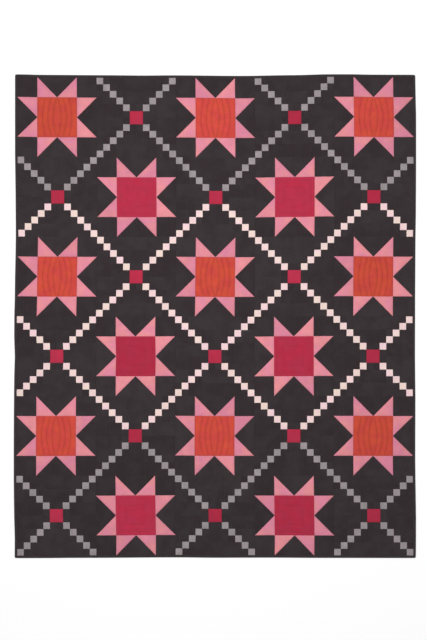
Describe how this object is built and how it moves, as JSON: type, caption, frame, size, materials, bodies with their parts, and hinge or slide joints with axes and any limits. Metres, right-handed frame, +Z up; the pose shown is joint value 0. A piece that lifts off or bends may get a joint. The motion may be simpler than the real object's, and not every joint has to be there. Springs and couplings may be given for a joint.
{
  "type": "patchwork quilt",
  "caption": "Flat patchwork throw quilt, quilted in straight rows and bound with folded dark cloth, for a bed, a sofa or a wall.",
  "frame": {"origin": "middle of the flat underside, on the surface that the quilt lies on", "axes": "+X across the quilt to the right of its pieced face, +Y up its length to the head edge, +Z up out of the pieced face"},
  "size_m": [1.53, 1.84, 0.0046],
  "materials": {
    "ground_cotton": "matte plain-weave cotton",
    "binding_cotton": "matte plain-weave cotton, folded double",
    "orange_cotton": "matte plain-weave cotton",
    "crimson_cotton": "matte plain-weave cotton",
    "pink_cotton": "matte plain-weave cotton, mottled",
    "gray_cotton": "matte plain-weave cotton",
    "blush_cotton": "matte plain-weave cotton",
    "backing_cotton": "matte plain-weave cotton",
    "quilting_thread": "matte cotton thread"
  },
  "bodies": {
    "root": {"quilt_body": "ground_cotton", "binding_top": "binding_cotton", "binding_bottom": "binding_cotton", "binding_left": "binding_cotton", "binding_right": "binding_cotton"}
  },
  "joints": []
}
